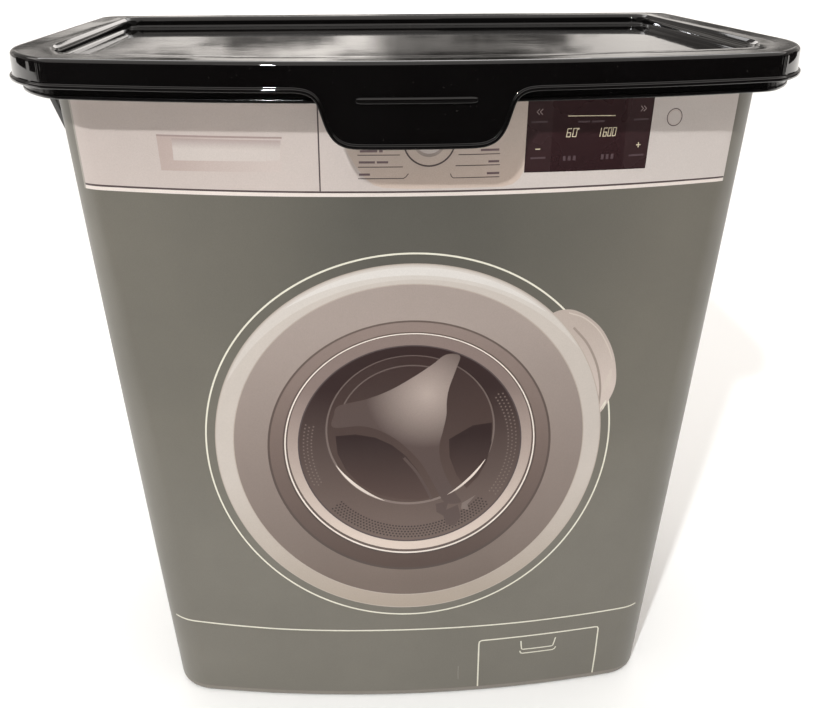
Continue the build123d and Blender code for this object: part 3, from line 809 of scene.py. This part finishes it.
# perforated drum wall
for k, r in enumerate((41.1, 39.9, 38.7, 37.5, 36.3)):
    for i in range(50):
        a = math.radians(222 + 96 * (i + 0.5 * (k % 2)) / 49)
        add("holes", circle(DX + r * math.cos(a), DZ + 1.4 + r * math.sin(a), 0.4, 8, a))
for k, r in enumerate((40.9, 39.4, 37.9)):
    for a0, a1, n in ((-34, 34, 30), (166, 206, 18)):
        for i in range(n):
            a = math.radians(a0 + (a1 - a0) * (i + 0.5 * (k % 2)) / n)
            add("holes_lit", circle(DX + r * math.cos(a), DZ + 1.4 + r * math.sin(a), 0.36, 8, a))
add("drum_rim", circle(-1.7, 131.9, 32.3, 108))
add("drum", circle(-1.7, 132.2, 31.6, 108))
add("drum_rim", line([(-1.7 + 27.6 * math.cos(math.radians(a)), 132.4 + 27.6 * math.sin(math.radians(a))) for a in np.linspace(62, 158, 40)], 0.5))
star = [(11.1, 164.0), (16.2, 163.4), (15.2, 158.6), (12.6, 150.4), (11.8, 144.6), (11.8, 138.9), (10.6, 132.0), (9.4, 126.2), (10.0, 119.0), (12.6, 111.0), (16.4, 103.6),
        (18.4, 99.6), (12.4, 99.6), (9.2, 104.8), (5.8, 112.0), (2.2, 118.6), (-2.6, 124.6), (-8.2, 129.8), (-14.4, 133.4), (-21.0, 135.0), (-31.0, 134.4), (-30.6, 139.6),
        (-28.6, 143.6), (-18.8, 146.2), (-9.5, 150.0), (-0.6, 155.4), (6.2, 160.2)]
add("star", smooth(star))
add("cavity", [(-30.2, 130.6), (-22.6, 131.4), (-15.2, 130.0), (-8.8, 126.6), (-3.4, 121.6), (1.0, 115.4), (4.4, 108.6), (7.0, 102.4), (2.0, 101.6), (-6.0, 102.2), (-14.0, 104.4),
               (-21.0, 109.0), (-26.4, 115.4), (-29.6, 122.8)])
add("cavity", [(13.0, 128.4), (13.4, 120.6), (16.2, 112.6), (20.4, 106.0), (24.8, 111.0), (28.0, 117.6), (29.6, 126.0), (29.4, 134.8), (22.0, 134.0)])
add("star", line(spline([(-4.2, 120.8), (0.6, 114.4), (4.4, 107.2), (6.8, 101.6)], 8), 1.1))


def crescent(cx, cz, r, a0, a1, w, n=26):
    o, i = [], []
    for k in range(n):
        t = k / (n - 1)
        a = math.radians(a0 + (a1 - a0) * t)
        h = w * math.sin(math.pi * t) ** 0.8 + 0.02
        o.append((cx + r * math.cos(a), cz + r * math.sin(a)))
        i.append((cx + (r - h) * math.cos(a), cz + (r - h) * math.sin(a)))
    return o + i[::-1]


add("crescent", crescent(-1.7, 131.9, 32.0, 206, 252, 1.15, 48))
add("crescent", crescent(-1.7, 131.9, 32.0, 297, 336, 1.0, 48))
add("ringsoft", crescent(DX, DZ + 0.1, 74.5, 32, 158, 5.2, 80))
add("ringlight", crescent(DX, DZ + 0.1, 73.9, 48, 128, 3.0, 70))
add("star", [(8.4, 99.4), (13.6, 100.6), (12.6, 96.4), (17.2, 98.6), (18.6, 92.6), (16.0, 88.6), (12.8, 89.6), (11.6, 93.6), (8.8, 95.6)])
add("star_hi", [(18.8, 99.2), (24.2, 102.6), (21.0, 98.4), (21.8, 95.8), (18.6, 96.6)])
# plinth line and service flap
add("thin", line(spline([(-102.9, 38.9), (-97.0, 38.6), (-90.0, 38.3), (-68.8, 37.5), (-47.7, 37.0), (-2.2, 36.9), (40, 36.9), (63.4, 37.1), (91, 37.4), (99.2, 37.9)], 8), 0.62))
flap = [(28.5, 3.45), (28.4, 15.0), (28.3, 27.0), (28.5, 28.2), (29.5, 28.8), (42.0, 29.0), (55.0, 29.2), (68.0, 29.3), (80.0, 29.3), (81.3, 29.1), (81.8, 28.2), (81.6, 15.0),
        (81.1, 3.45)]
add("thin", line(flap, 0.62))
add("thin", line([(46.8, 26.6), (47.0, 24.2), (47.3, 22.2), (48.0, 21.9), (54.0, 21.9), (60.6, 22.0), (61.3, 22.3), (61.8, 24.2), (62.3, 26.5)], 0.5))
add("thin", line([(46.6, 21.2), (46.9, 20.1), (47.7, 19.75), (54.0, 19.8), (61.3, 19.9), (62.2, 20.4), (62.7, 21.4)], 0.5))
add("edge", line([(19.7, 15.5), (19.65, 11.5), (19.8, 8.2)], 0.18))


def on_tub(s, z, out):
    S1, S2, (By, px, py, aB, rf, rc, hw) = s_edge(z)
    a, sg = abs(s), (1 if s >= 0 else -1)
    if a <= S1:
        th = -math.pi / 2 + a / rf
        x, y, n = rf * math.cos(th), By + rf * math.sin(th), (math.cos(th), math.sin(th))
    elif a <= S1 + S2:
        th = aB + (a - S1) / rc
        x, y, n = px + rc * math.cos(th), py + rc * math.sin(th), (math.cos(th), math.sin(th))
    else:
        x, y, n = hw, py + (a - S1 - S2), (1.0, 0.0)
    nn = Vector((sg * n[0], n[1], -0.0806)).normalized()
    return Vector((sg * x, y, z)) + nn * out, nn


pts, edges, faces = [], [], []
bound = []
WRAP = 9.0
for z in np.linspace(LZ0, LZ1, 40):
    a, b, _ = s_edge(z)
    bound.append((a + b + WRAP, z))
top = [(s, LZ1) for s in np.linspace(bound[-1][0], -bound[-1][0], 120)[1:-1]]
left = [(-s, z) for s, z in bound[::-1]]
bot = [(s, LZ0) for s in np.linspace(-bound[0][0], bound[0][0], 110)[1:-1]]
outline = bound + top + left + bot
faces.append(list(range(len(outline))))
pts += outline
for i, (m, poly) in enumerate(shapes):
    clipped = [(s, min(max(z, LZ0 + 0.02), LZ1 - 0.02)) for s, z in poly]
    keep = [clipped[0]]
    for q in clipped[1:]:
        if math.hypot(q[0] - keep[-1][0], q[1] - keep[-1][1]) > 1e-3:
            keep.append(q)
    if math.hypot(keep[0][0] - keep[-1][0], keep[0][1] - keep[-1][1]) < 1e-3:
        keep.pop()
    if sum(a[0] * b[1] - b[0] * a[1] for a, b in zip(keep, keep[1:] + keep[:1])) < 0:
        keep.reverse()
    fine_pts = []
    for a, b in zip(keep, keep[1:] + keep[:1]):
        k = max(1, int(math.ceil(abs(b[0] - a[0]) / 2.6)), int(math.ceil(abs(b[1] - a[1]) / 8.0)))
        fine_pts += [(a[0] + (b[0] - a[0]) * j / k, a[1] + (b[1] - a[1]) * j / k) for j in range(k)]
    faces.append(list(range(len(pts), len(pts) + len(fine_pts))))
    pts += fine_pts
for z in np.arange(LZ0 + 5, LZ1 - 2, 5.0):
    a, b, _ = s_edge(z)
    ss = list(np.arange(-a, a, 4.1)) + [a + d for d in np.arange(0, b + WRAP - 0.6, 1.5)] + [-a - d for d in np.arange(1.5, b + WRAP - 0.6, 1.5)]
    pts += [(s, z + 0.013 * (k % 2)) for k, s in enumerate(ss)]
res = delaunay_2d_cdt([Vector(p) for p in pts], edges, faces, 1, 1e-4)
rv, rf_, of_ = res[0], res[2], res[5]
verts, norms, mats_, out_faces = [], [], [], []
for p in rv:
    q, n = on_tub(p[0], p[1], 0.12)
    verts.append(q * MM)
    norms.append(n)
rank = [0] + [m for m, _ in shapes]
for f, of in zip(rf_, of_):
    if not of:
        continue
    top_face = max(of)
    out_faces.append(tuple(f))
    mats_.append(0 if top_face == 0 else shapes[top_face - 1][0])
me = bpy.data.meshes.new("front_label")
me.from_pydata([tuple(v) for v in verts], [], out_faces)
me.update()
me.polygons.foreach_set("material_index", mats_)
me.polygons.foreach_set("use_smooth", [True] * len(me.polygons))
uv = me.uv_layers.new(name="OFBake")
for lp in me.loops:
    p = rv[lp.vertex_index]
    uv.data[lp.index].uv = ((p[0] + 150) / 300, (p[1] + 22) / 300)
for n in ORDER:
    me.materials.append(INKS[n])
if sum(p.normal.y for p in me.polygons) > 0:
    me.flip_normals()
me.normals_split_custom_set_from_vertices([tuple(n) for n in norms])
label = bpy.data.objects.new("front_label", me)
bpy.context.scene.collection.objects.link(label)
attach(label, "body")

# ------------------------------------------------------------------ stage
scene = bpy.context.scene


def stage_mat(name, col, rough=0.9):
    m = Mat(name)
    c = m.mix(m.ramp(m.noise(1.2, 2, 0.5), 0.3, 0.7, 0, 1), lin(col), lin(tuple(x - 2 for x in col)))
    m.link(c, m.b.inputs["Base Color"])
    m.b.inputs["Roughness"].default_value = rough
    m.b.inputs["Specular IOR Level"].default_value = 0.2
    return m.m


fm = bpy.data.meshes.new("studio_floor")
fm.from_pydata([(-14, -9, 0), (14, -9, 0), (14, 30, 0), (-14, 30, 0)], [], [(0, 1, 2, 3)])
fm.materials.append(stage_mat("floor_white", (253, 253, 252)))
floor = bpy.data.objects.new("studio_floor", fm)
scene.collection.objects.link(floor)

world = bpy.data.worlds.new("studio")
scene.world = world
world.use_nodes = True
wn = world.node_tree
wn.nodes.clear()
wo = wn.nodes.new("ShaderNodeOutputWorld")
bg = wn.nodes.new("ShaderNodeBackground")
tc = wn.nodes.new("ShaderNodeTexCoord")
sep = wn.nodes.new("ShaderNodeSeparateXYZ")
ramp = wn.nodes.new("ShaderNodeValToRGB")
wn.links.new(tc.outputs["Generated"], sep.inputs[0])
wn.links.new(sep.outputs["Z"], ramp.inputs[0])
for k, (pos, c) in enumerate(((0.0, (0.95, 0.90, 0.85)), (0.10, (0.85, 0.80, 0.75)), (0.22, (0.32, 0.30, 0.285)), (0.5, (0.20, 0.195, 0.19)), (1.0, (0.34, 0.335, 0.33)))):
    el = ramp.color_ramp.elements[k] if k < 2 else ramp.color_ramp.elements.new(pos)
    el.position, el.color = pos, (*c, 1)
patch = wn.nodes.new("ShaderNodeTexNoise")
patch.inputs["Scale"].default_value = 9.0
patch.inputs["Detail"].default_value = 4.0
patch.inputs["Roughness"].default_value = 0.6
flat = wn.nodes.new("ShaderNodeMapping")
flat.inputs["Scale"].default_value = (1.0, 1.0, 7.0)
wn.links.new(tc.outputs["Generated"], flat.inputs[0])
wn.links.new(flat.outputs[0], patch.inputs["Vector"])
vary = wn.nodes.new("ShaderNodeMapRange")
vary.inputs["From Min"].default_value, vary.inputs["From Max"].default_value = 0.45, 0.55
vary.inputs["To Min"].default_value, vary.inputs["To Max"].default_value = 0.18, 1.5
wn.links.new(patch.outputs["Fac"], vary.inputs["Value"])
around = wn.nodes.new("ShaderNodeValToRGB")
around.color_ramp.interpolation = "EASE"
half = wn.nodes.new("ShaderNodeMapRange")
half.inputs["From Min"].default_value, half.inputs["From Max"].default_value = -1.0, 1.0
wn.links.new(sep.outputs["X"], half.inputs["Value"])
wn.links.new(half.outputs[0], around.inputs[0])
for k, (pos, v) in enumerate(((0.0, 0.4), (0.33, 0.45), (0.37, 0.5), (0.43, 0.75), (0.465, 0.8), (0.488, 1.0), (0.508, 0.95), (0.527, 0.2), (0.57, 0.16), (0.60, 0.6), (0.635, 0.75), (0.67, 0.5), (1.0, 0.45))):
    el = around.color_ramp.elements[k] if k < 2 else around.color_ramp.elements.new(pos)
    el.position, el.color = pos, (v, v, v, 1)
broken = wn.nodes.new("ShaderNodeMath")
broken.operation = "MULTIPLY"
wn.links.new(vary.outputs[0], broken.inputs[0])
wn.links.new(around.outputs[0], broken.inputs[1])
low = wn.nodes.new("ShaderNodeMapRange")
low.inputs["From Min"].default_value, low.inputs["From Max"].default_value = 0.13, 0.24
low.inputs["To Min"].default_value, low.inputs["To Max"].default_value = 1.0, 0.0
wn.links.new(sep.outputs["Z"], low.inputs["Value"])
amount = wn.nodes.new("ShaderNodeMix")
wn.links.new(low.outputs[0], amount.inputs[0])
amount.inputs[2].default_value = 0.55
wn.links.new(broken.outputs[0], amount.inputs[3])
wn.links.new(ramp.outputs[0], bg.inputs["Color"])
wn.links.new(amount.outputs[0], bg.inputs["Strength"])
wn.links.new(bg.outputs[0], wo.inputs[0])

# plain pale surround, for the camera only
dome = bpy.data.meshes.new("studio_backdrop")
dv, df = [], []
for i in range(13):
    el_ = math.radians(-3 + 93 * i / 12)
    for j in range(64):
        az_ = 2 * math.pi * j / 64
        dv.append((9.5 * math.cos(el_) * math.cos(az_), 0.6 + 9.5 * math.cos(el_) * math.sin(az_), 9.5 * math.sin(el_)))
for i in range(12):
    for j in range(64):
        df.append((i * 64 + j, i * 64 + (j + 1) % 64, (i + 1) * 64 + (j + 1) % 64, (i + 1) * 64 + j))
dome.from_pydata(dv, [], df)
dm = Mat("backdrop_white")
dm.link(dm.mix(dm.ramp(dm.noise(0.3, 1, 0.5), 0.3, 0.7, 0, 1), (0.93, 0.925, 0.92, 1.0), (0.98, 0.975, 0.97, 1.0)), dm.b.inputs["Emission Color"])
dm.b.inputs["Base Color"].default_value = (0, 0, 0, 1)
dm.b.inputs["Specular IOR Level"].default_value = 0.0
dm.b.inputs["Emission Strength"].default_value = 1.0
dome.materials.append(dm.m)
backdrop = bpy.data.objects.new("studio_backdrop", dome)
scene.collection.objects.link(backdrop)
backdrop.visible_diffuse = backdrop.visible_glossy = backdrop.visible_shadow = False


def dark_card(name, quad, col):
    """Dark card that only the glossy surfaces see, as a photographer's flag."""
    c_me = bpy.data.meshes.new(name)
    c_me.from_pydata(quad, [], [(0, 1, 2, 3)])
    c_me.materials.append(stage_mat(name + "_paint", col))
    c = bpy.data.objects.new(name, c_me)
    scene.collection.objects.link(c)
    c.visible_camera = c.visible_diffuse = c.visible_shadow = False


dark_card("studio_dark_card", [(-3.4, -1.5, 0.0), (3.4, -1.5, 0.0), (3.4, -1.5, 1.15), (-3.4, -1.5, 1.15)], (17, 15, 15))
for k, (y0, y1) in enumerate(((-1.3, -0.62), (-0.46, 0.05), (0.22, 0.5), (0.66, 1.3), (1.5, 2.6))):
    for sx in (-1, 1):
        dark_card("studio_side_card_%d_%s" % (k, "l" if sx < 0 else "r"), [(sx * 2.5, y0, 0.0), (sx * 2.5, y1, 0.0), (sx * 2.5, y1, 0.8), (sx * 2.5, y0, 0.8)], (22, 20, 19))
dark_card("studio_low_card", [(-3.4, -1.5, 0.002), (3.4, -1.5, 0.002), (3.4, -0.2, 0.002), (-3.4, -0.2, 0.002)], (58, 56, 54))


def area(name, loc, aim, size, power, col=(1, 1, 1), sy=None):
    d = bpy.data.lights.new(name, "AREA")
    d.shape = "RECTANGLE"
    d.size, d.size_y = size, (sy or size)
    d.energy = power
    d.color = col
    o = bpy.data.objects.new(name, d)
    scene.collection.objects.link(o)
    o.location = loc
    o.rotation_euler = (Vector(aim) - Vector(loc)).to_track_quat("-Z", "Y").to_euler()
    return o


KEY = Vector((-8.5, -22.5, 16.0)).normalized()
area("key", tuple(Vector((0, -0.1, 0.22)) + KEY * 2.4), (0, -0.1, 0.2), 0.07, 41.0, (0.955, 0.985, 1.0))
area("ceiling", (0.0, 1.6, 6.0), (0, 1.6, 0), 20.0, 1180.0, (1.0, 0.95, 0.905))
area("back_floor", (0.0, 7.8, 4.5), (0, 7.8, 0), 8.0, 300.0, (1.0, 0.995, 0.99))
area("front_fill", (-0.5, -2.6, 1.7), (0, 0, 0.12), 1.6, 4.5, (1.0, 0.91, 0.85), 1.0)
area("back_strip", (0.25, 2.9, 0.86), (0, 0, 0.26), 1.0, 1.5, (1.0, 0.95, 0.91), 0.26)

cam = bpy.data.cameras.new("camera")
cam.sensor_fit = "HORIZONTAL"
cam.sensor_width = 36.0
cam.lens = 1068.056 / 813 * 36.0
cam.shift_x = (406.5 - 400.72) / 813
cam.shift_y = (413.89 - 354.0) / 813
cam.clip_start, cam.clip_end = 0.02, 100
co = bpy.data.objects.new("camera", cam)
scene.collection.objects.link(co)
yaw, pitch, roll = (math.radians(a) for a in (3.22, 23.853, -0.181))
fwd = Vector((math.sin(yaw) * math.cos(pitch), math.cos(yaw) * math.cos(pitch), -math.sin(pitch)))
rt = Vector((math.cos(yaw), -math.sin(yaw), 0))
up = rt.cross(fwd)
r2 = rt * math.cos(roll) + up * math.sin(roll)
u2 = up * math.cos(roll) - rt * math.sin(roll)
from mathutils import Matrix
rot = Matrix((r2, u2, -fwd)).transposed()
co.matrix_world = Matrix.Translation(Vector((-26.085, -454.496, 302.222)) * MM) @ rot.to_4x4()
scene.camera = co
scene.view_settings.view_transform = "Standard"
scene.view_settings.look = "None"

bpy.context.view_layer.update()
